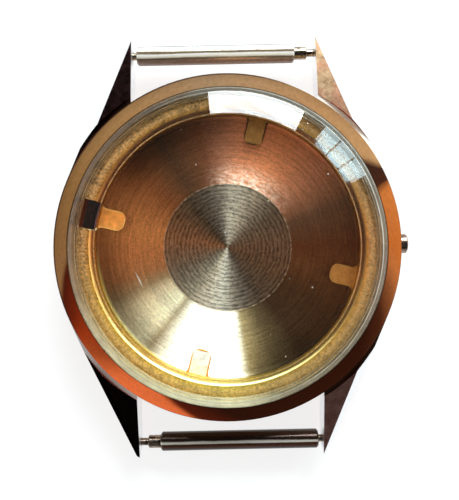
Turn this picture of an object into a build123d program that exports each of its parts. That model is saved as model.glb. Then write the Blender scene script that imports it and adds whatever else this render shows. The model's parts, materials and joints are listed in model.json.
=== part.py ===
from build123d import *
import math
import os

# Empty watch case, millimetres.
# Origin: centre of the flat outside face of the case back.
# +Z points up towards the crystal, +X towards the crown tube, +Y towards 12 o'clock.

# Clearances and cuts
seam_gap = 0.05           # between faces that part when a lid comes off
turning_gap = 0.05        # around a piece that snaps over a collar
pin_play = 0.05           # spring bar pin in its lug hole, on the radius
plunger_play = 0.025      # plunger in the mouth of its tube, on the radius
bead_play = 0.03          # snap bead past the bore, on the radius
ring_play = 0.10          # movement ring in its recess, on the radius
overrun = 1.0             # how far every cut runs past the solid

# Movement ring
movement_radius = 13.0    # holds a 26 mm movement
ring_wall = 0.35
ring_flange_width = 2.2   # from the inner wall to the rim
ring_flange_thickness = 0.40
ring_depth = 2.45         # from the foot to the seat under the flange
ring_foot_gap = 0.35      # between the ring's foot and the rim of the back
ring_corner_radius = 0.20
ring_foot_chamfer = 0.15  # on the inner wall, below the tops of the tabs
tab_thickness = 0.30
tab_width = 1.95
tab_length = 2.55         # from the ring's inner wall inwards
tab_corner_radius = 0.75
tab_flare_radius = 0.60
tab_count = 4
slot_width = 2.75
slot_floor_height = 0.70  # above the ring's foot
ring_turn_degrees = 165.4 # the loose ring lies turned, its slot away from the tube

# Case back
back_bevel_width = 4.25   # from the flat outside face to the flange's edge
back_thickness = 0.85     # at the centre
back_disc_radius = 6.45
back_disc_step = 0.07
back_centre_dimple_radius = 0.35
back_centre_dimple_depth = 0.10
back_cone_rise = 0.45
back_rim_width = 0.85     # flat ring at the foot of the snap wall
back_rim_step = 0.45
back_rim_chamfer = 0.15
back_flange_height = 1.45
back_flange_edge = 0.50
back_flange_lip = 1.35    # how far the flange reaches outside the bore
skirt_gap = 0.40          # between the ring's skirt and the snap wall
snap_wall = 0.60
snap_wall_height = 1.15   # above the flange
bead_depth = 0.12
bead_width = 0.30
pry_notch_width = 2.6
pry_notch_depth = 0.35
pry_notch_degrees = 135

# Back gasket
gasket_width = 0.45
gasket_thickness = 0.42

# Middle of the case
collar_wall = 0.45
collar_height = 0.70      # above the land that the bezel sits on
collar_step = 0.15        # from the ledge up to that land
land_width = 0.28         # land that shows outside the bezel
flank_foot_rise = 1.20    # height of the slope below the upright flank
foot_width = 0.55         # flat underside outside the gasket's rebate

# Lugs
lug_gap = 18.0            # strap width
lug_length = 3.65         # how far the tips reach past the flank
lug_tip_width = 0.31
lug_tip_round = 0.25
lug_tip_undercut = 0.55
lug_foot_height = 0.90
lug_root_step = 0.55      # root of the lug above the land
lug_root_gap = 0.33       # turned land between the flank's circle and the lug's root
lug_fall_length = 8.40    # length over which the top of the lug falls
lug_drop = 1.60
lug_face_width = 3.15     # of the lug's top where it starts to fall
lug_toe_radius = 0.35

# Bezel
bezel_wall = 0.67
bezel_edge_height = 0.90
bezel_rise = 1.15
bezel_face_width = 1.60   # from the outer edge to the crystal's opening
bezel_crest_width = 0.10
bezel_edge_radius = 0.10
bezel_lip_width = 0.35
bezel_lip_thickness = 0.30

# Crystal and its gasket
crystal_gasket_wall = 0.18
crystal_gasket_proud = 0.08
crystal_edge_height = 1.60
crystal_shoulder = 0.35
crystal_shoulder_rise = 0.25
crystal_bevel_width = 2.20
crystal_bevel_rise = 0.85
crystal_dome_rise = 0.50
crystal_wall = 1.05       # of the top
crystal_side_wall = 0.70
crystal_round = 0.12

# Crown tube
tube_radius = 0.95
tube_wall = 0.30
tube_stand = 0.77         # how far the tube stands out of the flank
tube_chamfer = 0.12
stem_room = 0.55          # from the floor of the ring's slot up to the stem's axis

# Spring bars
bar_setback = 1.18        # bar's axis from the lug's tip
bar_height_share = 0.52   # of the lug's end, from its foot
bar_radius = 0.93
bar_wall = 0.24
bar_crimp = 0.04          # how far the end is closed in to keep the plunger
bar_crimp_length = 0.30
bar_chamfer = 0.16
fixed_tip_stand = 0.40    # how much of the fixed pin shows
pin_radius = 0.36
pin_engagement = 0.50
pin_hole_depth = 0.60
pin_round = 0.10
fixed_shank = 1.20        # held in the tube
shoulder_length = 1.25
pin_stand = 0.75          # how much of the plunger's pin shows
shoulder_chamfer = 0.08
plunger_head_length = 0.60
spring_wire_radius = 0.07
spring_turns = 22
spring_play = 0.05        # around the coil and at its ends

# Radii that follow, from the movement outwards
tab_tip_radius = movement_radius - tab_length
foot_inner_radius = movement_radius + ring_foot_chamfer
skirt_radius = movement_radius + ring_wall
flange_radius = movement_radius + ring_flange_width
snap_inner_radius = skirt_radius + skirt_gap
snap_outer_radius = snap_inner_radius + snap_wall
bore_radius = snap_outer_radius + bead_depth + bead_play
recess_radius = flange_radius + ring_play
collar_radius = recess_radius + collar_wall
rebate_radius = bore_radius + gasket_width + seam_gap
foot_radius = rebate_radius + foot_width
root_radius = (rebate_radius + foot_radius) / 2
bezel_bore_radius = collar_radius + turning_gap
bezel_radius = bezel_bore_radius + bezel_wall
case_radius = bezel_radius + land_width
lug_root_radius = case_radius + lug_root_gap
lug_reach = case_radius + lug_length
opening_radius = bezel_radius - bezel_face_width
crystal_radius = opening_radius - crystal_gasket_wall
lip_radius = opening_radius - bezel_lip_width
back_rim_radius = snap_inner_radius - back_rim_width
back_edge_radius = bore_radius + back_flange_lip
tube_bore_radius = tube_radius - tube_wall

# Heights that follow, from the back upwards
case_foot = back_flange_height + seam_gap
back_cone_top = back_thickness + back_cone_rise
back_rim_top = back_cone_top + back_rim_step
ring_foot = back_rim_top + ring_foot_gap
tab_top = ring_foot + tab_thickness
ring_seat = ring_foot + ring_depth
ring_top = ring_seat + ring_flange_thickness
ledge_height = ring_seat - seam_gap
slot_floor = ring_foot + slot_floor_height
stem_height = slot_floor + stem_room
land_height = ledge_height + collar_step
flank_low_height = case_foot + flank_foot_rise
collar_top = land_height + collar_height
bezel_bottom = land_height + seam_gap
bezel_edge_top = bezel_bottom + bezel_edge_height
bezel_top = bezel_edge_top + bezel_rise
lip_bottom = collar_top + seam_gap
lip_top = lip_bottom + bezel_lip_thickness
crystal_edge_top = lip_top + crystal_edge_height
lug_root_top = land_height + lug_root_step
lug_tip_top = lug_root_top - lug_drop

# Spring bar lengths that follow, from one lug to the other
lug_inside = lug_gap / 2
bar_y = lug_reach - bar_setback
bar_z = lug_foot_height + bar_height_share * (lug_tip_top - lug_foot_height)
bar_left = -lug_inside + fixed_tip_stand
bar_right = lug_inside - pin_stand - shoulder_length
bar_bore_radius = bar_radius - bar_wall
bar_mouth_radius = bar_bore_radius - bar_crimp
shoulder_radius = bar_mouth_radius - plunger_play
plunger_head_radius = bar_bore_radius - plunger_play
plunger_head_end = bar_right - bar_crimp_length
pin_end = lug_inside + pin_engagement


def turned(*points):
    """Closed outline of (radius, height) points, as a face to turn about Z."""
    return make_face(Plane.XZ * Polyline(*points, close=True))


def spun(*points):
    """Solid turned about X from (x, radius) points."""
    return revolve(make_face(Polyline(*points, close=True)), Axis.X)


def rounded(face, radius, *corners):
    """The face with the corners nearest to the given (radius, height) points rounded."""
    picked = [face.vertices().sort_by_distance((across, 0, up))[0] for across, up in corners]
    return fillet(picked, radius)


def disc(radius, low, high):
    """Upright cylinder about Z between two heights."""
    return Pos(0, 0, low) * Cylinder(radius, high - low, align=(Align.CENTER, Align.CENTER, Align.MIN))


def across(radius, start, end, y=0, z=0):
    """Cylinder along X between two places."""
    along = Rot(0, 90, 0) * Cylinder(radius, end - start, align=(Align.CENTER, Align.CENTER, Align.MIN))
    return Pos(start, y, z) * along


def bevelled(solid, tip, edge, low):
    """The solid cut along the plane through three points, on the side of (edge - tip) x (low - tip)."""
    plane = Plane(edge, x_dir=edge - tip, z_dir=(edge - tip).cross(low - tip))
    reach = case_radius + lug_reach
    return solid - plane * Box(reach * 2, reach * 2, reach, align=(Align.CENTER, Align.CENTER, Align.MIN))


def lug():
    """The lug at +X +Y: a tapering horn, flat inside, its side running tangent into the flank."""
    tip_x = lug_inside + lug_tip_width
    tip_angle = math.atan2(lug_reach, tip_x)
    touch_angle = tip_angle - math.acos(case_radius / math.hypot(tip_x, lug_reach))
    outward = Vector(math.cos(touch_angle), math.sin(touch_angle), 0)
    along = Vector(-math.sin(touch_angle), math.cos(touch_angle), 0)
    up = Vector(0, 0, 1)
    touch = outward * case_radius
    plan = make_face(Polyline(
        (lug_inside, lug_reach),
        (tip_x, lug_reach),
        (touch.X, touch.Y),
        (lug_inside, lug_inside * math.tan(touch_angle)),
        close=True,
    ))
    tip_corner = plan.vertices().sort_by_distance((tip_x, lug_reach, 0))[0]
    horn = extrude(fillet([tip_corner], lug_tip_round), lug_root_top)

    lug_crest = lug_reach - lug_fall_length
    side = make_face(Plane.YZ * Polyline(
        (0, case_foot),
        (foot_radius, case_foot),
        (lug_reach - lug_tip_undercut, lug_foot_height),
        (lug_reach, lug_tip_top),
        (lug_crest, lug_root_top),
        (0, lug_root_top),
        close=True,
    ))
    toe = side.vertices().sort_by_distance((0, lug_reach - lug_tip_undercut, lug_foot_height))[0]
    side = fillet([toe], lug_toe_radius)
    horn = horn & extrude(side, case_radius)

    rise_start = math.sqrt(lug_root_radius ** 2 - case_radius ** 2)
    horn = bevelled(
        horn,
        Vector(lug_inside, lug_reach, lug_tip_top),
        Vector(lug_inside + lug_face_width, lug_crest, lug_root_top),
        touch + along * rise_start + up * land_height,
    )
    horn = bevelled(
        horn,
        Vector(tip_x, lug_reach, lug_foot_height),
        touch + up * flank_low_height,
        outward * foot_radius + up * case_foot,
    )

    horn -= disc(lug_root_radius, land_height, lug_root_top + overrun)
    horn -= disc(root_radius, 0, lug_root_top)
    return horn


def mid_case():
    """Turned ring with a ledge, a collar and a gasket rebate, and its four lugs."""
    rebate_top = back_flange_height + gasket_thickness + seam_gap
    ring = revolve(turned(
        (bore_radius, rebate_top),
        (rebate_radius, rebate_top),
        (rebate_radius, case_foot),
        (foot_radius, case_foot),
        (case_radius, flank_low_height),
        (case_radius, land_height),
        (collar_radius, land_height),
        (collar_radius, collar_top),
        (recess_radius, collar_top),
        (recess_radius, ledge_height),
        (bore_radius, ledge_height),
    ), Axis.Z)
    horn = lug()
    pair = Part() + horn + mirror(horn, Plane.YZ)
    case = ring + pair + mirror(pair, Plane.XZ)
    hole_end = lug_inside + pin_hole_depth
    for side in (1, -1):
        case -= across(pin_radius + pin_play, -hole_end, hole_end, side * bar_y, bar_z)
    case -= across(tube_radius, bore_radius - overrun, case_radius + overrun, 0, stem_height)
    return case


def bezel():
    """Ring that snaps over the collar, with the crystal's seat and a sloping polished face."""
    face = turned(
        (bezel_bore_radius, bezel_bottom),
        (bezel_radius, bezel_bottom),
        (bezel_radius, bezel_edge_top),
        (opening_radius + bezel_crest_width, bezel_top),
        (opening_radius, bezel_top),
        (opening_radius, lip_top),
        (lip_radius, lip_top),
        (lip_radius, lip_bottom),
        (bezel_bore_radius, lip_bottom),
    )
    face = rounded(face, bezel_edge_radius, (bezel_radius, bezel_edge_top))
    return revolve(face, Axis.Z)


def crystal_gasket():
    """Thin ring pressed between the crystal's edge and the bezel."""
    top = bezel_top + crystal_gasket_proud
    return revolve(turned(
        (crystal_radius, lip_top),
        (opening_radius, lip_top),
        (opening_radius, bezel_top),
        (opening_radius - crystal_gasket_wall / 2, top),
        (crystal_radius, top),
    ), Axis.Z)


def crystal():
    """Clear plastic cup: edge, shoulder, wide bevel and a slightly domed top, hollow below."""
    shoulder_radius_out = crystal_radius - crystal_shoulder
    shoulder_top = crystal_edge_top + crystal_shoulder_rise
    table_radius = shoulder_radius_out - crystal_bevel_width
    table_height = shoulder_top + crystal_bevel_rise
    apex = table_height + crystal_dome_rise
    inner_radius = crystal_radius - crystal_side_wall
    dome_radius = (table_radius ** 2 + crystal_dome_rise ** 2) / (2 * crystal_dome_rise)

    def dome_height(radius):
        return apex - dome_radius + math.sqrt(dome_radius ** 2 - radius ** 2)

    middle = table_radius / 2
    outline = Curve([
        Line((crystal_radius, lip_top), (crystal_radius, crystal_edge_top)),
        Line((crystal_radius, crystal_edge_top), (shoulder_radius_out, shoulder_top)),
        Line((shoulder_radius_out, shoulder_top), (table_radius, table_height)),
        ThreePointArc((table_radius, table_height), (middle, dome_height(middle)), (0, apex)),
        Line((0, apex), (0, apex - crystal_wall)),
        ThreePointArc(
            (0, apex - crystal_wall),
            (middle, dome_height(middle) - crystal_wall),
            (table_radius, table_height - crystal_wall),
        ),
        Line((table_radius, table_height - crystal_wall), (inner_radius, shoulder_top - crystal_wall)),
        Line((inner_radius, shoulder_top - crystal_wall), (inner_radius, lip_top)),
        Line((inner_radius, lip_top), (crystal_radius, lip_top)),
    ])
    face = make_face(Plane.XZ * outline)
    edge_corner = (crystal_radius, crystal_edge_top)
    shoulder_corner = (shoulder_radius_out, shoulder_top)
    face = rounded(face, crystal_round, edge_corner, shoulder_corner)
    return revolve(face, Axis.Z)


def case_back():
    """Back that presses in: stepped floor, flat rim, snap wall with its bead, flange outside."""
    disc_top = back_thickness + back_disc_step
    wall_top = back_flange_height + snap_wall_height
    bead_radius = snap_outer_radius + bead_depth
    face = turned(
        (0, 0),
        (back_edge_radius - back_bevel_width, 0),
        (back_edge_radius, back_flange_height - back_flange_edge),
        (back_edge_radius, back_flange_height),
        (snap_outer_radius, back_flange_height),
        (snap_outer_radius, wall_top - bead_width),
        (bead_radius, wall_top - bead_width / 2),
        (snap_outer_radius, wall_top),
        (snap_inner_radius, wall_top),
        (snap_inner_radius, back_rim_top),
        (back_rim_radius + back_rim_chamfer, back_rim_top),
        (back_rim_radius, back_rim_top - back_rim_chamfer),
        (back_rim_radius, back_cone_top),
        (back_disc_radius, back_thickness),
        (back_disc_radius, disc_top),
        (back_centre_dimple_radius, disc_top),
        (0, disc_top - back_centre_dimple_depth),
    )
    back = revolve(face, Axis.Z)
    notch = Pos(back_edge_radius, 0, 0) * Box(
        pry_notch_depth * 2,
        pry_notch_width,
        back_flange_height * 2 - back_flange_edge,
    )
    return back - Rot(0, 0, pry_notch_degrees) * notch


def back_gasket():
    """Flat rubber ring on the back's flange, in the rebate of the case."""
    low = back_flange_height
    high = low + gasket_thickness
    return disc(bore_radius + gasket_width, low, high) - disc(bore_radius, low - overrun, high + overrun)


def movement_ring():
    """Brass ring: flange, skirt with four tabs at its foot, and a slot for the stem."""
    profile = turned(
        (foot_inner_radius, ring_foot),
        (skirt_radius, ring_foot),
        (skirt_radius, ring_seat),
        (flange_radius, ring_seat),
        (flange_radius, ring_top),
        (movement_radius, ring_top),
        (movement_radius, tab_top),
    )
    ring = revolve(rounded(profile, ring_corner_radius, (movement_radius, ring_top)), Axis.Z)

    tab_middle = (tab_tip_radius + skirt_radius) / 2
    tab = Pos(tab_middle, 0) * Rectangle(skirt_radius - tab_tip_radius, tab_width)
    tab = fillet(tab.vertices().group_by(Axis.X)[0], tab_corner_radius)
    foot = Circle(skirt_radius) - Circle(foot_inner_radius)
    foot += [Rot(0, 0, turn * 360 / tab_count) * tab for turn in range(tab_count)]
    foot = foot & Circle(skirt_radius)
    beyond_tips = (tab_tip_radius + foot_inner_radius) / 2
    within_rim = (foot_inner_radius + skirt_radius) / 2
    roots = foot.vertices().filter_by(lambda corner: beyond_tips < corner.center().length < within_rim)
    foot = fillet(roots, tab_flare_radius)
    ring += Pos(0, 0, ring_foot) * extrude(foot, tab_thickness)

    slot_length = flange_radius - movement_radius + overrun * 2
    slot_height = ring_top - slot_floor + overrun
    slot = Pos(movement_radius - overrun, 0, slot_floor) * Box(
        slot_length,
        slot_width,
        slot_height,
        align=(Align.MIN, Align.CENTER, Align.MIN),
    )
    return Rot(0, 0, ring_turn_degrees) * (ring - slot)


def crown_tube():
    """Tube pressed through the case at 3 o'clock, from the bore to just outside the flank."""
    tube_end = case_radius + tube_stand
    return Pos(0, 0, stem_height) * spun(
        (bore_radius, tube_bore_radius),
        (bore_radius, tube_radius),
        (tube_end - tube_chamfer, tube_radius),
        (tube_end, tube_radius - tube_chamfer),
        (tube_end, tube_bore_radius),
    )


def bar_tube():
    """Outer tube of a spring bar, crimped in at the plunger's end."""
    return spun(
        (bar_left, bar_bore_radius),
        (bar_left, bar_radius - bar_chamfer),
        (bar_left + bar_chamfer, bar_radius),
        (bar_right - bar_chamfer, bar_radius),
        (bar_right, bar_radius - bar_chamfer),
        (bar_right, bar_mouth_radius),
        (plunger_head_end, bar_mouth_radius),
        (plunger_head_end, bar_bore_radius),
    )


def bar_fixed_tip():
    """Short end pin, its shank pressed into the tube."""
    return spun(
        (bar_left + fixed_shank, 0),
        (bar_left + fixed_shank, bar_bore_radius),
        (bar_left, bar_bore_radius),
        (bar_left, pin_radius),
        (pin_round - pin_end, pin_radius),
        (-pin_end, pin_radius - pin_round),
        (-pin_end, 0),
    )


def bar_plunger():
    """Sprung end pin with its shoulder, and the head that the crimp keeps inside."""
    shoulder_end = lug_inside - pin_stand
    return spun(
        (plunger_head_end - plunger_head_length, 0),
        (pin_end, 0),
        (pin_end, pin_radius - pin_round),
        (pin_end - pin_round, pin_radius),
        (shoulder_end, pin_radius),
        (shoulder_end, shoulder_radius - shoulder_chamfer),
        (shoulder_end - shoulder_chamfer, shoulder_radius),
        (plunger_head_end, shoulder_radius),
        (plunger_head_end, plunger_head_radius),
        (plunger_head_end - plunger_head_length, plunger_head_radius),
    )


def bar_spring():
    """Coil spring between the fixed tip's shank and the plunger's head."""
    start = bar_left + fixed_shank + spring_play + spring_wire_radius
    end = plunger_head_end - plunger_head_length - spring_play - spring_wire_radius
    coil_radius = bar_bore_radius - spring_play - spring_wire_radius
    path = Helix((end - start) / spring_turns, end - start, coil_radius)
    wire = Plane(path @ 0, z_dir=path % 0) * Circle(spring_wire_radius)
    coil = sweep(wire, path)
    return Pos(start, 0, 0) * Rot(0, 90, 0) * coil


os.makedirs("parts", exist_ok=True)

pieces = {
    "mid_case": mid_case(),
    "bezel": bezel(),
    "crystal_gasket": crystal_gasket(),
    "crystal": crystal(),
    "case_back": case_back(),
    "back_gasket": back_gasket(),
    "movement_ring": movement_ring(),
    "crown_tube": crown_tube(),
}

bar_pieces = {
    "tube": bar_tube(),
    "fixed_tip": bar_fixed_tip(),
    "plunger": bar_plunger(),
    "spring": bar_spring(),
}

# The top bar has its plunger at the crown side, the bottom bar has it opposite.
bar_places = {
    "top_bar": Pos(0, bar_y, bar_z),
    "bottom_bar": Pos(0, -bar_y, bar_z) * Rot(0, 0, 180),
}
for bar_name, place in bar_places.items():
    for piece_name, piece in bar_pieces.items():
        pieces[f"{bar_name}_{piece_name}"] = place * piece

for name, piece in pieces.items():
    export_step(piece, f"parts/{name}.step")
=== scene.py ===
import bpy
import bmesh
import json
import math
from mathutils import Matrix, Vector


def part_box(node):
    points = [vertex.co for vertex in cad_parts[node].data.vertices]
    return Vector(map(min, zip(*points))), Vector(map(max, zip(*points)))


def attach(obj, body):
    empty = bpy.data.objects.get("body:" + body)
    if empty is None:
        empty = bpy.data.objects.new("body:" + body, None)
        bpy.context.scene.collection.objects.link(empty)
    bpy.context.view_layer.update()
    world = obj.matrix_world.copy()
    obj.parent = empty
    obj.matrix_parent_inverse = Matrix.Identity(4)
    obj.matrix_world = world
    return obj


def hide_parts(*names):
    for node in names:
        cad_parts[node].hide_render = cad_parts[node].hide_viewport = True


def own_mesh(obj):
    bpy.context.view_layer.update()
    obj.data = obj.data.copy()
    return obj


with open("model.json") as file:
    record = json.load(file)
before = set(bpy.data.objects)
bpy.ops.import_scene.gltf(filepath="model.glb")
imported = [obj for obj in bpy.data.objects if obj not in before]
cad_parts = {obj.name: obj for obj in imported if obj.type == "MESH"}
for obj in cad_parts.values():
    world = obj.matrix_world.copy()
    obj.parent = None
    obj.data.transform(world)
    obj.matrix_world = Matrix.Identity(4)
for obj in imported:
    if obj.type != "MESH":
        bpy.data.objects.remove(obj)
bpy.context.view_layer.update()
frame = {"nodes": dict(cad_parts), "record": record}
nodes = frame["nodes"]

MM = 0.001
FULL_TURN = 2 * math.pi


def outer_radius(name):
    """Of a round piece, millimetres."""
    low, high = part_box(name)
    return max(-low.x, high.x) / MM


def lowest(name):
    """Height of a piece's underside, millimetres."""
    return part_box(name)[0].z / MM


def highest(name):
    """Height of a piece's top, millimetres."""
    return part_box(name)[1].z / MM


def mount_radius(name):
    """Radius that the record gives for a mount, millimetres."""
    found = next(mount for mount in frame["record"]["mounts"] if mount["name"] == name)
    return found["dims"]["r_mm"]


# Sizes of the case, millimetres
BEZEL_RADIUS = outer_radius("bezel")
OPENING_RADIUS = outer_radius("crystal_gasket")
CRYSTAL_RADIUS = outer_radius("crystal")
CRYSTAL_FOOT = lowest("crystal")
CRYSTAL_WALL = 0.70                    # at the crystal's foot
CASE_RADIUS = outer_radius("mid_case")
LUG_ROOT_GAP = 0.33                    # from the round case to the step at each lug's root
LAND_HEIGHT = lowest("bezel")
BACK_RADIUS = outer_radius("case_back")
DISC_RADIUS = 6.45                     # raised middle of the back
MOVEMENT_RADIUS = mount_radius("movement_seat")
FLANGE_RADIUS = outer_radius("movement_ring")
SKIRT_RADIUS = MOVEMENT_RADIUS + 0.35
RING_TOP = highest("movement_ring")
RING_TURN = 165.4                      # degrees that the movement ring lies turned
TAB_TIP_RADIUS = MOVEMENT_RADIUS - 2.55
TAB_HALF_WIDTH = 1.95 / 2
SLOT_HALF_ANGLE = 5.58                 # degrees, half of the ring's stem slot

# Photograph
FRAME_WIDE, FRAME_HIGH = 459, 500      # pixels
FOCAL_PIXELS = 627.7
CAMERA_HEIGHT = 65.0 * MM
CENTRE_ACROSS, CENTRE_DOWN = 227.5, 247.3
CAMERA_ROLL = math.radians(-1.2)

# Light
UNDER_GLASS = 2.5                      # a ray past more clear surfaces than this is under the crystal
DIM_OVERHEAD = 0.03                    # what polished metal mirrors from above
BRIGHT_OVERHEAD = 0.78                 # what the pieces under the crystal mirror from above
FLOOR_GLOW = 0.78                      # added where the floor is seen, to keep it white

# Surface grain
NOISE_LOW, NOISE_HIGH = 0.3, 0.7       # values between which most of a noise lies
FINE_DEPTH = 0.01 * MM
COARSE_DEPTH = 0.02 * MM


def make_camera():
    data = bpy.data.cameras.new("camera")
    data.sensor_width = 36.0
    data.lens = FOCAL_PIXELS * data.sensor_width / FRAME_HIGH
    data.shift_x = (FRAME_WIDE / 2 - CENTRE_ACROSS) / FRAME_HIGH
    data.shift_y = (CENTRE_DOWN - FRAME_HIGH / 2) / FRAME_HIGH
    data.clip_start = 1.0 * MM
    data.clip_end = 10.0
    camera = bpy.data.objects.new("camera", data)
    camera.location = (0, 0, CAMERA_HEIGHT)
    camera.rotation_euler = (0, 0, CAMERA_ROLL)
    bpy.context.scene.collection.objects.link(camera)
    bpy.context.scene.camera = camera


def tone(red, green, blue):
    """Linear colour from the values that a picture shows, 0 to 255."""
    def linear(value):
        share = value / 255
        return share / 12.92 if share <= 0.04045 else ((share + 0.055) / 1.055) ** 2.4
    return (linear(red), linear(green), linear(blue), 1.0)


def grey(share):
    return (share, share, share, 1.0)


def by_degrees(*stops):
    """Ramp stops from (degrees, colour) pairs; the ramp closes on itself at a full turn."""
    return [(degrees / 360, colour) for degrees, colour in stops]


class Graph:
    """A node tree, built from small steps."""

    def __init__(self, tree):
        self.tree = tree
        self.tree.nodes.clear()

    def node(self, kind, **settings):
        made = self.tree.nodes.new(kind)
        for name, value in settings.items():
            setattr(made, name, value)
        return made

    def link(self, source, target):
        """Joins a socket to a socket, or sets a plain value on it."""
        if isinstance(source, bpy.types.NodeSocket):
            self.tree.links.new(source, target)
        else:
            target.default_value = source

    def math(self, operation, first, second=0.0, third=0.0, clamp=False):
        made = self.node("ShaderNodeMath", operation=operation, use_clamp=clamp)
        for source, target in zip((first, second, third), made.inputs):
            self.link(source, target)
        return made.outputs[0]

    def product(self, first, *others):
        for other in others:
            first = self.math("MULTIPLY", first, other)
        return first

    def total(self, first, *others):
        for other in others:
            first = self.math("ADD", first, other)
        return first

    def largest(self, first, *others):
        for other in others:
            first = self.math("MAXIMUM", first, other)
        return first

    def fit(self, value, low, high, to_low=0.0, to_high=1.0, smooth=False):
        """The value carried from one range to another, and held at its ends."""
        made = self.node("ShaderNodeMapRange")
        if smooth:
            made.interpolation_type = "SMOOTHSTEP"
        for source, name in zip((value, low, high, to_low, to_high),
                                ("Value", "From Min", "From Max", "To Min", "To Max")):
            self.link(source, made.inputs[name])
        return made.outputs[0]

    def between(self, share, at_zero, at_one):
        return self.fit(share, 0.0, 1.0, at_zero, at_one)

    def opposite(self, share):
        return self.between(share, 1.0, 0.0)


class Paint(Graph):
    """One material's node tree."""

    def __init__(self, name):
        self.material = bpy.data.materials.new(name)
        self.material.use_nodes = True
        super().__init__(self.material.node_tree)
        self.output = self.node("ShaderNodeOutputMaterial")
        self.place = self.node("ShaderNodeTexCoord").outputs["Object"]
        split = self.node("ShaderNodeSeparateXYZ")
        self.link(self.scaled(self.place, 1 / MM), split.inputs[0])
        self.x, self.y, self.z = split.outputs
        facing = self.node("ShaderNodeSeparateXYZ")
        self.link(self.place.node.outputs["Normal"], facing.inputs[0])
        self.facing_x, self.facing_y, self.facing_z = facing.outputs

    def scaled(self, vector, factor):
        made = self.node("ShaderNodeVectorMath", operation="SCALE")
        self.link(vector, made.inputs[0])
        self.link(factor, made.inputs["Scale"])
        return made.outputs[0]

    def wander(self, noise, low, high):
        """A number that a noise moves between two values."""
        return self.fit(noise, NOISE_LOW, NOISE_HIGH, low, high)

    def lit(self, colour, noise, low, high):
        """The colour made darker and lighter by a noise."""
        return self.scaled(colour, self.wander(noise, low, high))

    def join(self, x, y, z):
        made = self.node("ShaderNodeCombineXYZ")
        for source, target in zip((x, y, z), made.inputs):
            self.link(source, target)
        return made.outputs[0]

    def radius(self):
        """Distance from the Z axis, millimetres."""
        squares = self.total(self.math("POWER", self.x, 2.0), self.math("POWER", self.y, 2.0))
        return self.math("SQRT", squares)

    def turn(self):
        """Share of a turn from +X towards +Y, 0 to 1."""
        angle = self.math("ARCTAN2", self.y, self.x)
        return self.math("FRACT", self.total(self.math("DIVIDE", angle, FULL_TURN), 1.0))

    def round_marks(self, turn, radius, turns):
        """Place for a noise whose marks run round the axis, shorter with more turns."""
        return self.join(radius, self.product(turn, turns), 0.0)

    def spokes(self, turn, radius, turns, stretch):
        """Place for a noise whose marks run away from the axis, finer with more turns."""
        return self.join(self.product(turn, turns), self.product(radius, stretch), 0.0)

    def noise(self, vector, scale, detail=2.0, roughness=0.5):
        made = self.node("ShaderNodeTexNoise")
        self.link(vector, made.inputs["Vector"])
        made.inputs["Scale"].default_value = scale
        made.inputs["Detail"].default_value = detail
        made.inputs["Roughness"].default_value = roughness
        return made.outputs["Fac"]

    def band(self, value, low, high, soft):
        """1 between two values, falling to 0 over a soft edge."""
        rise = self.fit(value, low - soft, low + soft)
        fall = self.fit(value, high - soft, high + soft, 1.0, 0.0)
        return self.product(rise, fall)

    def sector(self, turn, low, high, soft):
        """1 between two directions given in degrees, falling to 0 over a soft edge."""
        return self.band(turn, low / 360, high / 360, soft / 360)

    def specks(self, vector, scale, size, share):
        """Small marks scattered at random, in that share of the cells."""
        cells = self.node("ShaderNodeTexVoronoi")
        self.link(vector, cells.inputs["Vector"])
        cells.inputs["Scale"].default_value = scale
        inside = self.fit(cells.outputs["Distance"], size * 0.4, size, 1.0, 0.0)
        pick = self.node("ShaderNodeSeparateColor")
        self.link(cells.outputs["Color"], pick.inputs[0])
        return self.product(inside, self.math("GREATER_THAN", pick.outputs[0], 1.0 - share))

    def drawn_out(self, degrees, stretch):
        """Place turned about Z and stretched along its new X, for marks that run one way."""
        made = self.node("ShaderNodeMapping", vector_type="TEXTURE")
        self.link(self.place, made.inputs["Vector"])
        made.inputs["Rotation"].default_value = (0, 0, math.radians(degrees))
        made.inputs["Scale"].default_value = (stretch, 1, 1)
        return made.outputs[0]

    def ramp(self, value, stops):
        made = self.node("ShaderNodeValToRGB")
        elements = made.color_ramp.elements
        while len(elements) > 1:
            elements.remove(elements[-1])
        elements[0].position, elements[0].color = stops[0]
        for position, colour in stops[1:]:
            elements.new(position).color = colour
        self.link(value, made.inputs[0])
        return made.outputs["Color"]

    def mix(self, share, first, second, blend="MIX"):
        made = self.node("ShaderNodeMix", data_type="RGBA", blend_type=blend)
        self.link(share, made.inputs["Factor"])
        self.link(first, made.inputs[6])
        self.link(second, made.inputs[7])
        return made.outputs[2]

    def bump(self, height, strength, distance):
        made = self.node("ShaderNodeBump")
        made.inputs["Strength"].default_value = strength
        made.inputs["Distance"].default_value = distance
        self.link(height, made.inputs["Height"])
        return made.outputs[0]

    def shader_mix(self, share, first, second):
        made = self.node("ShaderNodeMixShader")
        for source, target in zip((share, first, second), made.inputs):
            self.link(source, target)
        return made.outputs[0]

    def show(self, surface):
        self.link(surface, self.output.inputs["Surface"])

    def finish(self, colour, roughness, normal=None, tangent=None, **settings):
        """The Principled shader on the output; settings go straight on its sockets."""
        shader = self.node("ShaderNodeBsdfPrincipled")
        self.link(colour, shader.inputs["Base Color"])
        self.link(roughness, shader.inputs["Roughness"])
        for name, value in settings.items():
            shader.inputs[name.replace("_", " ")].default_value = value
        if normal is not None:
            self.link(normal, shader.inputs["Normal"])
        if tangent is not None:
            self.link(tangent, shader.inputs["Tangent"])
        self.show(shader.outputs[0])
        return shader


def dress(name, material):
    for slot in nodes[name].material_slots:
        slot.material = material


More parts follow.
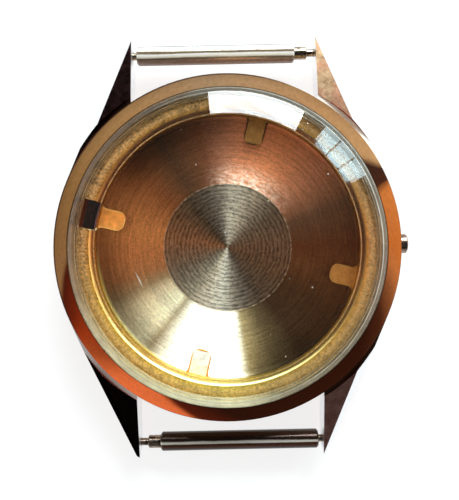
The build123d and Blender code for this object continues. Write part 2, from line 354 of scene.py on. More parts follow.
def bezel_reflections(paint, turn, outwards):
    """Painted reflection: what the bezel's face mirrors, put into its colour; the edges between its tones
    lean round towards the rim.
    """
    lead = paint.ramp(turn, by_degrees(
        (0, grey(0.60)),
        (14, grey(0.50)),
        (21, grey(0.46)),
        (27, grey(0.63)),
        (34, grey(0.60)),
        (60, grey(0.50)),
        (165, grey(0.50)),
        (186, grey(0.18)),
        (202, grey(0.22)),
        (214, grey(0.68)),
        (228, grey(0.68)),
        (242, grey(0.35)),
        (254, grey(0.20)),
        (275, grey(0.25)),
        (300, grey(0.50)),
        (328, grey(0.72)),
        (342, grey(0.66)),
        (360, grey(0.60)),
    ))
    most_lead = 20 / 360
    slant = paint.product(outwards, paint.between(lead, -most_lead, most_lead))
    uneven = paint.noise(paint.place, scale=160, detail=1.0)
    uneven = paint.product(paint.math("SUBTRACT", uneven, 0.5), 0.020)
    return paint.ramp(paint.math("FRACT", paint.total(turn, slant, uneven, 1.0)), by_degrees(
        (0, tone(206, 112, 48)),
        (18, tone(218, 128, 62)),
        (21, tone(72, 38, 26)),
        (30, tone(62, 38, 28)),
        (33, tone(206, 158, 106)),
        (60, tone(192, 147, 100)),
        (95, tone(174, 142, 106)),
        (125, tone(173, 132, 84)),
        (160, tone(148, 108, 62)),
        (182, tone(144, 102, 62)),
        (186, tone(74, 24, 12)),
        (198, tone(112, 34, 12)),
        (212, tone(160, 56, 20)),
        (222, tone(164, 72, 34)),
        (236, tone(240, 116, 62)),
        (244, tone(232, 112, 60)),
        (248, tone(84, 26, 12)),
        (266, tone(38, 14, 7)),
        (326, tone(46, 17, 8)),
        (338, tone(72, 34, 18)),
        (347, tone(140, 80, 44)),
        (354, tone(200, 116, 60)),
        (360, tone(206, 112, 48)),
    ))


def paint_bezel():
    """Polished plate with a painted reflection of a warm dim room, with soft wandering edges between its
    tones.
    """
    paint = Paint("plated_bezel")
    turn = paint.turn()
    radius = paint.radius()
    outwards = paint.fit(radius, OPENING_RADIUS + 0.08, BEZEL_RADIUS - 0.07)
    colour = bezel_reflections(paint, turn, outwards)
    fine = paint.noise(paint.place, scale=2500, detail=4.0, roughness=0.6)
    colour = paint.lit(colour, fine, 0.93, 1.07)
    # Painted shade: the outer part of the face darker from 40° to 180°.
    rim_shade = paint.product(paint.sector(turn, 40, 180, 10), paint.fit(outwards, 0.4, 1.0))
    colour = paint.scaled(colour, paint.between(rim_shade, 1.0, 0.72))
    # Painted shadow: a dark line along the outer rim from 72° to 206°.
    shadow_line = paint.product(paint.fit(outwards, 0.93, 0.98), paint.sector(turn, 72, 206, 8))
    colour = paint.mix(paint.product(shadow_line, 0.85), colour, tone(46, 30, 32))
    marks = paint.specks(paint.place, scale=600, size=0.06, share=0.25)
    colour = paint.mix(paint.product(marks, 0.6), colour, tone(250, 225, 190))
    scratches = paint.specks(paint.drawn_out(62, 14), scale=420, size=0.035, share=0.10)
    colour = paint.mix(paint.product(scratches, 0.5), colour, tone(235, 200, 165))
    # Painted light: the bore's wall takes the painted tones of the crystal's edge.
    bore = paint.fit(radius, OPENING_RADIUS + 0.06, OPENING_RADIUS + 0.03)
    colour = paint.mix(bore, colour, edge_painted_light(paint, turn, radius))
    shader = paint.finish(colour, paint.wander(fine, 0.08, 0.16), paint.bump(fine, 0.05, FINE_DEPTH),
                          Specular_Tint=(1.0, 0.65, 0.56, 1.0))
    paint.link(paint.between(bore, 1.0, 0.3), shader.inputs["Metallic"])
    dress("bezel", paint.material)


def facet_light_and_shade(paint, mottle, right, upper, black):
    """Painted light and shade on the tops of the lugs: tan at the upper right, plum at the lower right and
    black at the left.
    """
    patches = paint.noise(paint.place, scale=420, detail=3.0, roughness=0.6)
    tan = paint.ramp(mottle, [(0.30, tone(88, 68, 48)), (0.5, tone(112, 92, 70)), (0.72, tone(138, 118, 94))])
    rosy = paint.ramp(mottle, [(0.3, tone(96, 64, 48)), (0.72, tone(132, 98, 78))])
    tan = paint.mix(paint.fit(patches, 0.4, 0.6), tan, rosy)
    plum = paint.ramp(mottle, [(0.3, tone(160, 110, 98)), (0.7, tone(196, 150, 138))])
    return paint.mix(right, black, paint.mix(upper, plum, tan))


def land_painted_light(paint, turn):
    """Painted light on the flat step around the bezel: white where it catches a window, darker elsewhere."""
    return paint.ramp(turn, by_degrees(
        (0, tone(190, 120, 70)),
        (24, tone(255, 252, 246)),
        (68, tone(255, 252, 246)),
        (80, tone(150, 116, 80)),
        (112, tone(66, 42, 32)),
        (160, tone(60, 38, 30)),
        (200, tone(200, 160, 140)),
        (206, tone(255, 255, 252)),
        (244, tone(255, 250, 240)),
        (256, tone(90, 48, 30)),
        (290, tone(40, 20, 14)),
        (310, tone(110, 76, 56)),
        (340, tone(70, 40, 26)),
        (360, tone(190, 120, 70)),
    ))


def paint_middle():
    """Plated middle under painted light and shade: worn facets painted tan where lit, painted pale highlights
    on bevels and inner faces, darker lugs on the shaded sides.
    """
    paint = Paint("plated_middle")
    turn = paint.turn()
    radius = paint.radius()
    mottle = paint.noise(paint.place, scale=1500, detail=5.0, roughness=0.7)
    right = paint.fit(paint.x, -0.5, 0.5)
    upper = paint.fit(paint.y, -0.5, 0.5)
    black = paint.ramp(mottle, [(0.3, tone(14, 8, 7)), (0.75, tone(38, 22, 22))])
    gold = paint.ramp(mottle, [(0.3, tone(180, 128, 80)), (0.75, tone(216, 168, 118))])
    pale = paint.ramp(mottle, [(0.3, tone(236, 238, 242)), (0.75, tone(255, 255, 255))])

    lug_start, lug_full = 9.2, 9.8     # from the X axis, past the plain round side
    on_lug = paint.fit(paint.math("ABSOLUTE", paint.y), lug_start, lug_full)
    facing_up = paint.fit(paint.facing_z, 0.80, 0.90)
    facet = facet_light_and_shade(paint, mottle, right, upper, black)
    colour = paint.mix(paint.product(on_lug, facing_up), gold, facet)
    # Painted reflections: the lugs' bevels pale, black at the lower left, and their inner faces pale.
    bevel = paint.product(on_lug, paint.band(paint.facing_z, 0.45, 0.80, 0.05))
    lower_left = paint.product(paint.opposite(right), paint.opposite(upper))
    colour = paint.mix(bevel, colour, paint.mix(lower_left, pale, black))
    inward = paint.product(paint.math("SIGN", paint.x), paint.facing_x)
    inner_face = paint.product(on_lug, paint.fit(inward, -0.90, -0.97))
    colour = paint.mix(inner_face, colour, pale)

    on_land = paint.band(radius, BEZEL_RADIUS - 0.17, CASE_RADIUS + 0.45, 0.05)
    land = paint.product(paint.fit(paint.facing_z, 0.995, 0.999), on_land)
    colour = paint.mix(land, colour, land_painted_light(paint, turn))
    root_radius = CASE_RADIUS + LUG_ROOT_GAP
    step = paint.product(paint.band(radius, root_radius - 0.05, root_radius + 0.05, 0.01),
                         paint.fit(paint.facing_z, 0.3, 0.1),
                         paint.fit(paint.z, LAND_HEIGHT - 0.1, LAND_HEIGHT))
    colour = paint.mix(step, colour, tone(176, 70, 36))
    # Painted shade: the recess under the ring's flange in a dark brown, not metal.
    recess_radius = FLANGE_RADIUS + 0.10
    shade_under_ring = paint.product(paint.fit(radius, recess_radius + 0.06, recess_radius + 0.02),
                               paint.fit(paint.z, LAND_HEIGHT + 0.2, LAND_HEIGHT))
    colour = paint.mix(shade_under_ring, colour, tone(120, 54, 24))

    shader = paint.finish(colour, paint.wander(mottle, 0.24, 0.42), paint.bump(mottle, 0.12, FINE_DEPTH))
    bright_land = paint.total(paint.sector(turn, 24, 68, 2), paint.sector(turn, 203, 246, 2))
    plain = paint.largest(paint.product(land, bright_land), shade_under_ring)
    paint.link(paint.opposite(plain), shader.inputs["Metallic"])
    edge_tint = paint.mix(paint.product(bevel, lower_left), grey(1.0), grey(0.0))
    paint.link(edge_tint, shader.inputs["Specular Tint"])
    dress("mid_case", paint.material)


def cone_light_and_shade(paint, turn, radius, streak):
    """Painted light and shade on the sloping inside of the back: bright painted wedges, most of them darker
    towards its rim.
    """
    cone = paint.ramp(turn, by_degrees(
        (0, tone(118, 68, 40)),
        (20, tone(120, 84, 60)),
        (40, tone(204, 134, 98)),
        (62, tone(244, 156, 106)),
        (80, tone(230, 150, 108)),
        (90, tone(200, 136, 104)),
        (103, tone(138, 88, 60)),
        (122, tone(106, 75, 52)),
        (142, tone(168, 100, 58)),
        (168, tone(236, 150, 86)),
        (185, tone(214, 134, 80)),
        (196, tone(190, 126, 80)),
        (204, tone(176, 142, 104)),
        (211, tone(228, 204, 166)),
        (226, tone(250, 240, 206)),
        (231, tone(172, 154, 122)),
        (239, tone(255, 252, 236)),
        (275, tone(255, 252, 236)),
        (279, tone(168, 150, 108)),
        (292, tone(112, 96, 68)),
        (305, tone(84, 62, 42)),
        (328, tone(94, 62, 38)),
        (346, tone(124, 76, 44)),
        (360, tone(118, 68, 40)),
    ))
    # Painted highlight near the disc and a painted red reflection towards the rim, on the lit side.
    lit_side = paint.sector(turn, 45, 92, 16)
    root_highlight = paint.product(lit_side, paint.fit(radius, 8.8, 6.6), paint.fit(streak, 0.44, 0.56, 0.05, 1.0))
    cone = paint.mix(root_highlight, cone, tone(240, 232, 216))
    red_rim_reflection = paint.product(lit_side, paint.fit(radius, 9.4, 12.0), 0.5)
    cone = paint.mix(red_rim_reflection, cone, tone(150, 80, 44))
    # Painted shade: the cone darker towards its rim in most directions.
    outer = paint.ramp(turn, by_degrees(
        (0, grey(1.0)),
        (80, grey(1.0)),
        (92, grey(0.60)),
        (135, grey(0.38)),
        (150, grey(0.75)),
        (180, grey(0.55)),
        (210, grey(0.40)),
        (228, grey(0.48)),
        (236, grey(0.85)),
        (276, grey(1.0)),
        (283, grey(0.60)),
        (304, grey(0.60)),
        (316, grey(0.85)),
        (330, grey(1.0)),
    ))
    return paint.scaled(cone, paint.fit(radius, 9.8, 12.2, 1.0, outer))


def disc_reflections(paint, turn):
    """Painted reflections on the raised middle of the back, in wedges as the cone's but greyer."""
    return paint.ramp(turn, by_degrees(
        (0, tone(130, 94, 70)),
        (35, tone(108, 86, 68)),
        (62, tone(124, 112, 96)),
        (84, tone(130, 122, 108)),
        (100, tone(106, 96, 84)),
        (130, tone(90, 72, 54)),
        (168, tone(160, 106, 72)),
        (205, tone(126, 106, 88)),
        (228, tone(136, 126, 108)),
        (238, tone(150, 138, 120)),
        (262, tone(142, 138, 126)),
        (276, tone(116, 108, 96)),
        (300, tone(96, 80, 66)),
        (330, tone(118, 86, 62)),
        (360, tone(130, 94, 70)),
    ))


def turned_grooves(paint, turn, radius, on_cone, streak, lines):
    """Coarse uneven rings on the disc, fine broken lines on the cone."""
    ring_pitch = 0.40
    warp = paint.noise(paint.round_marks(turn, radius, 7.0), scale=2.6, detail=3.0, roughness=0.7)
    feed = paint.total(paint.product(radius, FULL_TURN / ring_pitch), paint.product(warp, 13.0))
    rings = paint.fit(paint.math("SINE", feed), -1.0, 1.0, 0.34, 0.66)
    speckle = paint.noise(paint.place, scale=5200, detail=3.0, roughness=0.7)
    disc_groove = paint.total(paint.product(rings, 0.42), paint.product(streak, 0.58))
    cone_groove = paint.total(paint.product(streak, 0.3), paint.product(speckle, 0.35),
                              paint.product(lines, 0.35))
    return paint.between(on_cone, disc_groove, cone_groove)


def paint_back():
    """Circular turning: coarse rings on the middle disc, a fine grain on the cone around it, all under
    painted light and shade in wedges, with painted highlights at the ring's foot and the disc's edge and
    painted shade past the ring's skirt.
    """
    paint = Paint("steel_back")
    turn = paint.turn()
    radius = paint.radius()
    on_cone = paint.fit(radius, DISC_RADIUS - 0.05, DISC_RADIUS + 0.03)
    streak = paint.noise(paint.round_marks(turn, radius, 14.0), scale=4.8, detail=4.0, roughness=0.8)
    lines = paint.noise(paint.round_marks(turn, radius, 1.5), scale=4.0, detail=3.0, roughness=0.7)
    colour = paint.mix(on_cone, disc_reflections(paint, turn), cone_light_and_shade(paint, turn, radius, streak))
    groove = turned_grooves(paint, turn, radius, on_cone, streak, lines)
    darkest = paint.between(on_cone, 0.25, 0.50)
    brightest = paint.between(on_cone, 1.80, 1.50)
    colour = paint.scaled(colour, paint.fit(groove, 0.36, 0.64, darkest, brightest))
    # Painted reflection: a bright yellow line on the back at the ring's foot, from 186° to 264°.
    at_ring = paint.fit(radius, MOVEMENT_RADIUS - 0.15, MOVEMENT_RADIUS + 0.1)
    ring_reflection = paint.product(paint.sector(turn, 186, 264, 8), at_ring)
    colour = paint.mix(paint.product(ring_reflection, 0.8), colour, tone(255, 222, 124))
    # Painted shade: the back dark brown beyond the ring's skirt.
    shade_past_skirt = paint.fit(radius, SKIRT_RADIUS + 0.01, SKIRT_RADIUS + 0.07)
    colour = paint.mix(shade_past_skirt, colour, tone(64, 32, 14))
    # Painted highlight along the disc's edge, broken by the turning streaks.
    edge = paint.product(paint.band(radius, DISC_RADIUS - 0.05, DISC_RADIUS + 0.07, 0.02),
                         paint.fit(streak, 0.45, 0.6))
    colour = paint.mix(paint.product(edge, 0.7), colour, tone(235, 205, 170))
    outside = paint.largest(paint.fit(paint.facing_z, -0.2, -0.4),
                            paint.fit(radius, BACK_RADIUS - 0.3, BACK_RADIUS - 0.2))
    satin = tone(172, 162, 150)[:3]
    colour = paint.mix(outside, colour, paint.lit(satin, lines, 0.7, 1.3))
    marks = paint.specks(paint.place, scale=700, size=0.07, share=0.12)
    colour = paint.mix(marks, colour, tone(250, 240, 220))
    tangent = paint.node("ShaderNodeTangent", direction_type="RADIAL", axis="Z").outputs[0]
    paint.finish(colour, paint.wander(groove, 0.42, 0.52), paint.bump(groove, 0.35, COARSE_DEPTH), tangent,
                 Metallic=1.0, Anisotropic=0.95, Anisotropic_Rotation=0.25)
    dress("case_back", paint.material)


def brass_painted_light(paint, turn, radius):
    """Painted light: the ring's lights around the case, duller and paler outside its wall."""
    colour = paint.ramp(turn, by_degrees(
        (0, tone(186, 112, 36)),
        (30, tone(180, 132, 66)),
        (60, tone(184, 136, 56)),
        (100, tone(172, 124, 44)),
        (150, tone(170, 106, 26)),
        (180, tone(188, 118, 32)),
        (205, tone(206, 156, 48)),
        (240, tone(222, 176, 66)),
        (268, tone(208, 182, 66)),
        (290, tone(182, 148, 62)),
        (330, tone(188, 134, 50)),
        (360, tone(186, 112, 36)),
    ))
    shaded = paint.ramp(turn, by_degrees(
        (0, grey(0.20)),
        (15, grey(0.40)),
        (60, grey(0.40)),
        (90, grey(0.70)),
        (105, grey(1.0)),
        (135, grey(0.75)),
        (155, grey(0.40)),
        (180, grey(0.10)),
        (360, grey(0.20)),
    ))
    outside = paint.fit(radius, SKIRT_RADIUS - 0.10, SKIRT_RADIUS + 0.30)
    duller = paint.mix(0.55, colour, tone(176, 146, 104))
    lifted = paint.scaled(duller, paint.between(shaded, 1.25, 2.1))
    return paint.mix(outside, colour, lifted)


def tab_painted_light(paint, turn):
    """Painted light: each tab in the light of its own place, one of them in full glare."""
    return paint.ramp(turn, by_degrees(
        (0, tone(170, 112, 52)),
        (76, tone(158, 112, 58)),
        (120, tone(150, 106, 54)),
        (165, tone(232, 146, 68)),
        (210, tone(240, 200, 120)),
        (250, tone(255, 255, 250)),
        (262, tone(255, 255, 250)),
        (300, tone(190, 136, 74)),
        (345, tone(168, 110, 52)),
        (360, tone(170, 112, 52)),
    ))


def tab_rim(paint):
    """1 along the sides and the tip of each tab, which stand square to each other."""
    square = paint.node("ShaderNodeSeparateXYZ")
    paint.link(paint.scaled(paint.drawn_out(RING_TURN, 1.0), 1 / MM), square.inputs[0])
    one_way = paint.math("ABSOLUTE", square.outputs[0])
    other_way = paint.math("ABSOLUTE", square.outputs[1])
    along = paint.largest(one_way, other_way)
    beside = paint.math("MINIMUM", one_way, other_way)
    return paint.largest(paint.fit(beside, TAB_HALF_WIDTH - 0.135, TAB_HALF_WIDTH - 0.095),
                         paint.fit(along, TAB_TIP_RADIUS + 0.15, TAB_TIP_RADIUS + 0.09))


def tab_rim_painted_light(paint, turn):
    """Painted light and shade on the edge of each tab, dark on the upper side and golden on the lower."""
    return paint.ramp(turn, by_degrees(
        (0, tone(168, 116, 56)),
        (76, tone(52, 28, 14)),
        (120, tone(120, 80, 40)),
        (165, tone(240, 176, 96)),
        (220, tone(240, 170, 60)),
        (255, tone(226, 150, 30)),
        (345, tone(150, 104, 50)),
        (360, tone(168, 116, 56)),
    ))


def corner_painted_highlight(paint, turn):
    """Painted highlight on the inner corner of the flange, bright where it faces the light."""
    return paint.ramp(turn, by_degrees(
        (0, tone(120, 72, 30)),
        (60, tone(120, 90, 60)),
        (120, tone(120, 80, 42)),
        (150, tone(176, 114, 56)),
        (168, tone(200, 130, 70)),
        (176, tone(255, 180, 100)),
        (205, tone(255, 216, 130)),
        (235, tone(255, 248, 200)),
        (285, tone(255, 250, 180)),
        (304, tone(236, 216, 140)),
        (320, tone(172, 138, 76)),
        (360, tone(120, 72, 30)),
    ))


def paint_ring():
    """Matte brass with a fine mottle under painted light, tabs in painted light of their own, a painted glint
    and a stem slot in painted shade.
    """
    paint = Paint("brass_ring")
    turn = paint.turn()
    radius = paint.radius()
    mottle = paint.noise(paint.place, scale=4200, detail=4.0, roughness=0.75)
    streak = paint.noise(paint.spokes(turn, radius, 420.0, 0.5), scale=1.0, detail=3.0, roughness=0.6)
    grain = paint.total(paint.product(mottle, 0.88), paint.product(streak, 0.12))
    colour = brass_painted_light(paint, turn, radius)
    # Grain and stains show stronger from 80° to 200°: real mottle and stains, deepened on that side by
    # painted light and shade.
    raked_side = paint.between(paint.sector(turn, 80, 200, 20), 0.6, 1.0)
    swing = paint.product(raked_side, 0.8)
    colour = paint.lit(colour, grain, paint.math("SUBTRACT", 1.0, swing), paint.total(1.0, swing))
    stains = paint.fit(paint.noise(paint.place, scale=1500, detail=5.0, roughness=0.8), 0.50, 0.58)
    stains = paint.product(stains, raked_side, 0.62)
    colour = paint.mix(stains, colour, paint.scaled(colour, 0.35))

    on_tab = paint.product(paint.fit(radius, MOVEMENT_RADIUS, MOVEMENT_RADIUS - 0.1),
                           paint.fit(paint.facing_z, 0.9, 0.97))
    cloudy = paint.noise(paint.place, scale=1300, detail=4.0, roughness=0.7)
    colour = paint.mix(on_tab, colour, paint.lit(tab_painted_light(paint, turn), cloudy, 0.7, 1.3))
    colour = paint.mix(paint.product(on_tab, tab_rim(paint)), colour, tab_rim_painted_light(paint, turn))

    # Painted highlight along the flange's inner corner.
    corner = paint.product(paint.band(radius, MOVEMENT_RADIUS - 0.01, MOVEMENT_RADIUS + 0.18, 0.02),
                           paint.fit(paint.z, RING_TOP - 0.35, RING_TOP - 0.25))
    colour = paint.mix(corner, colour, corner_painted_highlight(paint, turn))
    # Painted shade: the floor of the stem slot in a red-brown, not metal.
    aside = paint.math("SUBTRACT", turn, RING_TURN / 360)
    in_slot = paint.product(paint.sector(aside, -SLOT_HALF_ANGLE, SLOT_HALF_ANGLE, 0.07),
                            paint.fit(paint.z, RING_TOP - 0.02, RING_TOP - 0.07),
                            paint.fit(radius, MOVEMENT_RADIUS + 0.02, MOVEMENT_RADIUS + 0.05))
    colour = paint.mix(in_slot, colour, tone(140, 56, 16))
    # Painted glint at the slot's lower corner.
    glint = paint.product(paint.sector(aside, SLOT_HALF_ANGLE - 0.47, SLOT_HALF_ANGLE + 0.61, 0.14),
                          paint.band(radius, MOVEMENT_RADIUS, MOVEMENT_RADIUS + 0.3, 0.03))
    colour = paint.mix(glint, colour, tone(255, 246, 190))
    shader = paint.finish(colour, paint.wander(mottle, 0.36, 0.56), paint.bump(grain, 0.25, COARSE_DEPTH))
    paint.link(paint.between(in_slot, 0.85, 0.0), shader.inputs["Metallic"])
    dress("movement_ring", paint.material)


def paint_steel(name, low, high, pieces, rough=0.2):
    """Plain turned steel with a fine grain."""
    paint = Paint(name)
    grain = paint.noise(paint.place, scale=1800, detail=3.0, roughness=0.6)
    colour = paint.ramp(grain, [(NOISE_LOW, low), (NOISE_HIGH, high)])
    roughness = paint.wander(grain, rough, rough + 0.12)
    paint.finish(colour, roughness, paint.bump(grain, 0.1, FINE_DEPTH), Metallic=1.0)
    for piece in pieces:
        dress(piece, paint.material)


# Painted reflections across each strap bar, from its edge towards -Y to its edge towards +Y
TOP_BAR_REFLECTIONS = [
    (0.04, tone(190, 172, 164)),
    (0.17, tone(176, 156, 148)),
    (0.23, tone(120, 100, 70)),
    (0.30, tone(250, 246, 232)),
    (0.44, tone(255, 254, 250)),
    (0.49, tone(150, 128, 100)),
    (0.58, tone(150, 126, 100)),
    (0.65, tone(255, 252, 240)),
    (0.86, tone(255, 253, 244)),
    (0.90, tone(140, 146, 156)),
    (0.98, tone(130, 136, 146)),
]
BOTTOM_BAR_REFLECTIONS = [
    (0.02, tone(20, 8, 4)),
    (0.18, tone(52, 24, 14)),
    (0.32, tone(120, 76, 56)),
    (0.42, tone(76, 42, 24)),
    (0.47, tone(250, 246, 236)),
    (0.56, tone(245, 240, 230)),
    (0.62, tone(60, 38, 26)),
    (0.80, tone(70, 48, 38)),
    (0.97, tone(84, 66, 56)),
]


def paint_bar(name, piece, stops, metallic):
    """Polished drawn tube with lengthwise streaks, under painted reflection bands that run along it."""
    paint = Paint(name)
    low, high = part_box(piece)
    across = paint.fit(paint.y, low.y / MM, high.y / MM)
    waver = paint.noise(paint.join(paint.product(paint.x, 0.12), paint.y, paint.z),
                        scale=2.0, detail=3.0, roughness=0.6)
    across = paint.total(across, paint.product(paint.math("SUBTRACT", waver, 0.5), 0.10))
    drawn = paint.noise(paint.join(paint.product(paint.x, 0.25), paint.y, paint.z),
                        scale=9.0, detail=3.0, roughness=0.6)
    shade = paint.ramp(drawn, [(0.35, tone(96, 96, 96)), (0.65, tone(158, 158, 158))])
    colour = paint.mix(0.6, paint.ramp(across, stops), shade, "OVERLAY")
    paint.finish(colour, paint.wander(drawn, 0.14, 0.24), paint.bump(drawn, 0.06, FINE_DEPTH),
                 Metallic=metallic)
    dress(piece, paint.material)


def paint_rubber():
    """Dark rubber, browned as the stem slot shows it."""
    paint = Paint("black_rubber")
    grain = paint.noise(paint.place, scale=3000, detail=3.0)
    colour = paint.ramp(grain, [(NOISE_LOW, tone(58, 26, 12)), (NOISE_HIGH, tone(78, 38, 20))])
    paint.finish(colour, paint.wander(grain, 0.6, 0.75), paint.bump(grain, 0.2, COARSE_DEPTH))
    dress("back_gasket", paint.material)


def glazed(paint, tint, roughness, veil, veil_share):
    """Clear plastic that lets lamps through to what it covers, under a share of a paler skin."""
    shader = paint.finish(tint, roughness, Transmission_Weight=1.0, IOR=1.52)
    clear = paint.node("ShaderNodeBsdfTransparent")
    path = paint.node("ShaderNodeLightPath")
    skin = paint.node("ShaderNodeBsdfPrincipled")
    paint.link(veil, skin.inputs["Base Color"])
    skin.inputs["Roughness"].default_value = 0.25
    covered = paint.shader_mix(veil_share, shader.outputs[0], skin.outputs[0])
    paint.show(paint.shader_mix(path.outputs["Is Shadow Ray"], covered, clear.outputs[0]))


def edge_painted_light(paint, turn, radius):
    """Painted light: what the crystal's edge shows around the case, from the bezel's wall behind it, lighter
    and darker by direction.
    """
    patchy = paint.noise(paint.spokes(turn, radius, 70.0, 2.0), scale=1.0, detail=3.0, roughness=0.6)
    tones = paint.ramp(turn, by_degrees(
        (0, tone(176, 140, 102)),
        (20, tone(206, 184, 158)),
        (30, tone(240, 236, 224)),
        (56, tone(240, 234, 216)),
        (95, tone(206, 200, 180)),
        (106, tone(166, 138, 100)),
        (125, tone(150, 112, 72)),
        (170, tone(138, 96, 58)),
        (195, tone(176, 140, 104)),
        (212, tone(226, 206, 164)),
        (232, tone(246, 236, 192)),
        (262, tone(255, 252, 216)),
        (276, tone(252, 246, 206)),
        (290, tone(150, 140, 108)),
        (325, tone(126, 108, 82)),
        (345, tone(148, 124, 106)),
        (360, tone(156, 122, 90)),
    ))
    return paint.lit(tones, patchy, 0.36, 0.66)


def worn_reflection_lines(paint, turn, radius, greenish):
    """Painted reflections: three bright lines along the crystal's edge, broken by wear and strongest towards
    the windows.
    """
    strength = paint.ramp(turn, by_degrees(
        (0, grey(0.90)),
        (30, grey(0.70)),
        (60, grey(0.45)),
        (100, grey(0.30)),
        (125, grey(0.13)),
        (190, grey(0.13)),
        (215, grey(0.45)),
        (280, grey(0.55)),
        (330, grey(0.60)),
        (360, grey(0.90)),
    ))
    outer = paint.product(paint.band(radius, CRYSTAL_RADIUS - 0.05, CRYSTAL_RADIUS + 0.03, 0.02), 0.40)
    middle = paint.product(greenish, 0.22)
    inner = paint.product(paint.band(radius, CRYSTAL_RADIUS - 0.45, CRYSTAL_RADIUS - 0.35, 0.03), 0.85)
    patchy = paint.noise(paint.spokes(turn, radius, 60.0, 1.5), scale=1.0, detail=4.0, roughness=0.7)
    worn = paint.fit(patchy, 0.25, 0.65, 0.45, 1.0)
    return paint.product(paint.total(outer, middle, inner), worn, strength)


def dust_and_scratches(paint):
    """Share of pale marks on what faces up."""
    dust = paint.product(paint.specks(paint.place, scale=520, size=0.055, share=0.22), 0.7)
    steep = paint.product(paint.specks(paint.drawn_out(20, 12), scale=330, size=0.030, share=0.10), 0.35)
    shallow = paint.product(paint.specks(paint.drawn_out(-65, 10), scale=300, size=0.030, share=0.12), 0.35)
    return paint.product(paint.largest(dust, steep, shallow), paint.fit(paint.facing_z, 0.5, 0.7))


def paint_crystal():
    """Clear plastic: painted reflections as worn bright lines around the edge, painted glints, painted light
    at its foot, dust and hairline scratches on top.
    """
    paint = Paint("clear_crystal")
    turn = paint.turn()
    radius = paint.radius()
    greenish = paint.band(radius, CRYSTAL_RADIUS - 0.27, CRYSTAL_RADIUS - 0.09, 0.02)
    lines = worn_reflection_lines(paint, turn, radius, greenish)
    # Painted glints beside the window's reflection, from 52° to 60°.
    glints = paint.product(paint.specks(paint.place, scale=1700, size=0.16, share=0.5),
                           paint.band(radius, 12.5, 13.8, 0.3), paint.sector(turn, 52, 60, 1))
    lines = paint.largest(lines, glints)
    under_windows = paint.total(paint.sector(turn, 27, 49, 1), paint.sector(turn, 60, 95, 1))
    wiped = paint.noise(paint.drawn_out(-28, 5), scale=900, detail=4.0, roughness=0.7)
    wiped = paint.product(paint.fit(wiped, 0.52, 0.66), paint.band(radius, 12.3, 14.2, 0.1), under_windows)
    lines = paint.largest(lines, paint.product(wiped, 0.38))
    inner_radius = CRYSTAL_RADIUS - CRYSTAL_WALL
    # Painted light: the crystal's foot takes the edge's painted tones.
    foot = paint.product(paint.fit(paint.z, CRYSTAL_FOOT + 0.2, CRYSTAL_FOOT + 0.1),
                         paint.fit(radius, inner_radius + 0.03, inner_radius + 0.07))
    lines = paint.largest(lines, paint.product(foot, 0.85))
    veil = paint.mix(greenish, tone(244, 240, 226), tone(150, 156, 136))
    veil = paint.mix(wiped, veil, tone(120, 150, 158))
    veil = paint.mix(foot, veil, edge_painted_light(paint, turn, radius))

    on_top = dust_and_scratches(paint)
    share = paint.math("MAXIMUM", lines, on_top, clamp=True)
    haze = paint.noise(paint.place, scale=900, detail=4.0, roughness=0.7)
    glazed(paint, tone(252, 253, 250), paint.fit(haze, 0.55, 0.8, 0.0, 0.03), veil, share)
    dress("crystal", paint.material)


def paint_gasket():
    """Thin translucent ring around the crystal, under a share of the edge's painted light."""
    paint = Paint("clear_gasket")
    glazed(paint, tone(225, 226, 210), 0.15, edge_painted_light(paint, paint.turn(), paint.radius()), 0.7)
    dress("crystal_gasket", paint.material)


def shorten_spring(node_name, body):
    """Puts a copy of a spring's solid, attached to its bar's body, in the place of the spring's part."""
    coil = bpy.data.objects.new(node_name + "_coil", nodes[node_name].data.copy())
    bpy.context.scene.collection.objects.link(coil)
    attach(coil, body)
    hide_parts(node_name)
    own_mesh(coil)


def make_disc(name, radius, sides, height, paint):
    """A round flat card for the studio."""
    mesh = bpy.data.meshes.new(name)
    shape = bmesh.new()
    bmesh.ops.create_circle(shape, cap_ends=True, segments=sides, radius=radius)
    shape.to_mesh(mesh)
    shape.free()
    mesh.materials.append(paint.material)
    disc = bpy.data.objects.new(name, mesh)
    disc.location = (0, 0, height)
    bpy.context.scene.collection.objects.link(disc)
    return disc


def make_floor():
    """White floor that takes a faint shadow and can be seen through from below."""
    paint = Paint("floor")
    grain = paint.noise(paint.place, scale=300, detail=3.0)
    shader = paint.finish(paint.ramp(grain, [(NOISE_LOW, grey(0.29)), (NOISE_HIGH, grey(0.31))]), 0.9)
    shader.inputs["Specular IOR Level"].default_value = 0.0
    glow = paint.node("ShaderNodeEmission")
    path = paint.node("ShaderNodeLightPath")
    seen = paint.largest(path.outputs["Is Camera Ray"], path.outputs["Is Glossy Ray"],
                         path.outputs["Is Transmission Ray"])
    paint.link(paint.product(seen, FLOOR_GLOW), glow.inputs["Strength"])
    both = paint.node("ShaderNodeAddShader")
    paint.link(shader.outputs[0], both.inputs[0])
    paint.link(glow.outputs[0], both.inputs[1])
    below = paint.node("ShaderNodeNewGeometry").outputs["Backfacing"]
    clear = paint.node("ShaderNodeBsdfTransparent")
    paint.show(paint.shader_mix(below, both.outputs[0], clear.outputs[0]))
    floor = make_disc("floor", 3.0, 96, -0.02 * MM, paint)


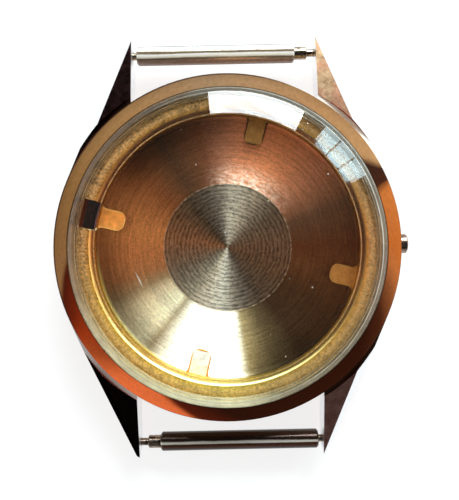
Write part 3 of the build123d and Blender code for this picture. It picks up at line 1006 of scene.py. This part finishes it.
def make_flag():
    """Dark round card over the camera, mirrored but not seen, that keeps the crystal's top clear."""
    flag_radius, soft_from = 44, 32    # millimetres
    paint = Paint("flag")
    dark = paint.node("ShaderNodeEmission")
    path = paint.node("ShaderNodeLightPath")
    under_glass = paint.math("GREATER_THAN", path.outputs["Transmission Depth"], UNDER_GLASS)
    paint.link(paint.between(under_glass, DIM_OVERHEAD, BRIGHT_OVERHEAD), dark.inputs["Strength"])
    clear = paint.node("ShaderNodeBsdfTransparent")
    edge = paint.fit(paint.radius(), soft_from, flag_radius, smooth=True)
    paint.show(paint.shader_mix(edge, dark.outputs[0], clear.outputs[0]))
    flag = make_disc("flag", flag_radius * MM, 64, CAMERA_HEIGHT + 2 * MM, paint)
    flag.visible_camera = False
    flag.visible_diffuse = False
    flag.visible_shadow = False


def make_world():
    """White at the horizon and dim overhead, brighter for what lies under the crystal, even for matte."""
    world = bpy.data.worlds.new("studio")
    world.use_nodes = True
    sky = Graph(world.node_tree)
    direction = sky.node("ShaderNodeSeparateXYZ")
    sky.link(sky.node("ShaderNodeTexCoord").outputs["Generated"], direction.inputs[0])
    upward = direction.outputs[2]
    path = sky.node("ShaderNodeLightPath")
    under_glass = sky.math("GREATER_THAN", path.outputs["Transmission Depth"], UNDER_GLASS)
    open_sky = sky.total(sky.fit(upward, 0.15, 0.50, 1.0, DIM_OVERHEAD, smooth=True),
                         sky.fit(upward, 0.62, 0.74, 0.0, 0.13, smooth=True))
    sky_through_glass = sky.fit(upward, 0.45, 0.95, 1.05, 0.88, smooth=True)
    mirrored = sky.between(under_glass, open_sky, sky_through_glass)
    for_matte, for_camera = 0.55, 1.25
    strength = sky.between(path.outputs["Is Diffuse Ray"], mirrored, for_matte)
    strength = sky.between(path.outputs["Is Camera Ray"], strength, for_camera)
    glow = sky.node("ShaderNodeBackground")
    sky.link(strength, glow.inputs["Strength"])
    sky.link(glow.outputs[0], sky.node("ShaderNodeOutputWorld").inputs["Surface"])
    bpy.context.scene.world = world


def window(name, azimuth, elevation, wide, high, radiance, colour,
           panes=(1, 1), bar_share=0.0, distance=0.30):
    """A row of soft panes that face the object, their sizes given in degrees as the object sees them."""
    turn, lift = math.radians(azimuth), math.radians(elevation)
    direction = Vector((math.cos(turn) * math.cos(lift), math.sin(turn) * math.cos(lift), math.sin(lift)))
    sideways = Vector((-math.sin(turn), math.cos(turn), 0))
    upwards = direction.cross(sideways)
    full = 2 * distance * math.tan(math.radians(wide / 2)) * math.cos(lift)
    upright = 2 * distance * math.tan(math.radians(high / 2))
    columns, rows = panes
    bar = full * bar_share
    pane_wide = (full - bar * (columns - 1)) / columns
    pane_high = (upright - bar * (rows - 1)) / rows
    for column in range(columns):
        for row in range(rows):
            data = bpy.data.lights.new(f"{name}_{column}_{row}", "AREA")
            data.shape = "RECTANGLE"
            data.size = pane_wide
            data.size_y = pane_high
            data.energy = radiance * math.pi * pane_wide * pane_high
            data.color = colour
            light = bpy.data.objects.new(data.name, data)
            along = (column - (columns - 1) / 2) * (pane_wide + bar)
            above = (row - (rows - 1) / 2) * (pane_high + bar)
            light.location = direction * distance + sideways * along + upwards * above
            light.rotation_mode = "QUATERNION"
            light.rotation_quaternion = direction.to_track_quat("Z", "Y")
            light.visible_camera = False
            bpy.context.scene.collection.objects.link(light)


make_camera()
make_world()
make_floor()
make_flag()
window("window_top", azimuth=77.5, elevation=35, wide=37, high=22, radiance=18.0, colour=(0.92, 0.98, 1.0))
window("window_side", azimuth=38, elevation=28.1, wide=22, high=15, radiance=8.0, colour=(0.62, 0.90, 1.0),
       panes=(3, 2), bar_share=0.03)

paint_bezel()
paint_middle()
paint_back()
paint_ring()
paint_rubber()
paint_bar("steel_bar_top", "top_bar_tube", TOP_BAR_REFLECTIONS, 0.15)
paint_bar("steel_bar_bottom", "bottom_bar_tube", BOTTOM_BAR_REFLECTIONS, 0.5)
paint_steel("steel_tube", tone(112, 92, 78), tone(176, 158, 146), ["crown_tube"])
# One steel for all tips; those of the bottom bar are given darker tones as painted shade.
paint_steel("steel_tip_top", tone(104, 84, 66), tone(210, 196, 176), ["top_bar_fixed_tip", "top_bar_plunger"])
paint_steel("steel_tip_bottom", tone(70, 52, 42), tone(180, 164, 146),
            ["bottom_bar_fixed_tip", "bottom_bar_plunger"])
paint_steel("spring_steel", tone(110, 110, 110), tone(170, 170, 170),
            ["top_bar_spring", "bottom_bar_spring"], rough=0.25)
shorten_spring("top_bar_spring", "top_bar")
shorten_spring("bottom_bar_spring", "bottom_bar")
paint_crystal()
paint_gasket()

bpy.context.scene.view_settings.view_transform = "Standard"
